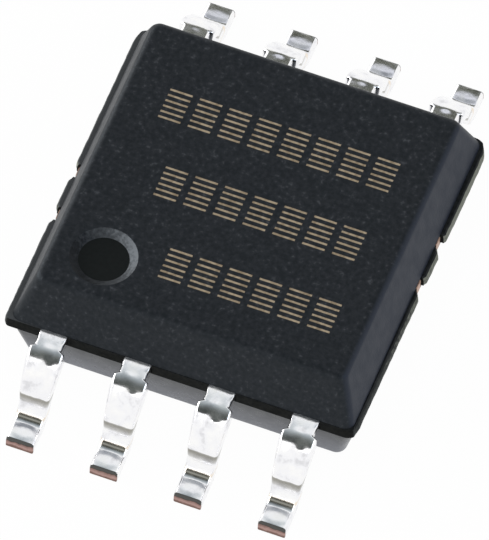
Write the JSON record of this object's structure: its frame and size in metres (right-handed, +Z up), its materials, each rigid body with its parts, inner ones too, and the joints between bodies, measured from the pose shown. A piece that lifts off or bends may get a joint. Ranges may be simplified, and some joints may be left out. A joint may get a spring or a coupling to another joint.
{
  "type": "flash memory chip",
  "caption": "Surface-mount memory chip: drafted black moulded body with a pin-one dimple and notched end flanges, gull-wing leads on opposite sides.",
  "frame": {"origin": "centre of the package on the plane that the feet stand on", "axes": "+X along the lead rows, from lead 1 to lead 4; +Y across the package, from the row of leads 1 to 4 to the row of leads 5 to 8; +Z up, out of the face with the pin-one dimple"},
  "size_m": [0.0054, 0.008, 0.0019],
  "materials": {
    "moulding_compound": "fine spark-eroded matt, near black",
    "tin_plating": "bright to satin matt tin over copper",
    "copper_strip": "bare copper strip, cut ends in view",
    "silver_epoxy": "cured silver-filled epoxy",
    "silicon": "polished silicon",
    "gold_wire": "drawn gold wire"
  },
  "bodies": {
    "root": {"package_body": "moulding_compound", "lead_1": "tin_plating", "lead_2": "tin_plating", "lead_3": "tin_plating", "lead_4": "tin_plating", "lead_5": "tin_plating", "lead_6": "tin_plating", "lead_7": "tin_plating", "lead_8": "tin_plating", "die_pad": "copper_strip", "die_attach": "silver_epoxy", "flash_die": "silicon", "bond_wire_1": "gold_wire", "bond_wire_2": "gold_wire", "bond_wire_3": "gold_wire", "bond_wire_4": "gold_wire", "bond_wire_5": "gold_wire", "bond_wire_6": "gold_wire", "bond_wire_7": "gold_wire", "bond_wire_8": "gold_wire"}
  },
  "joints": []
}
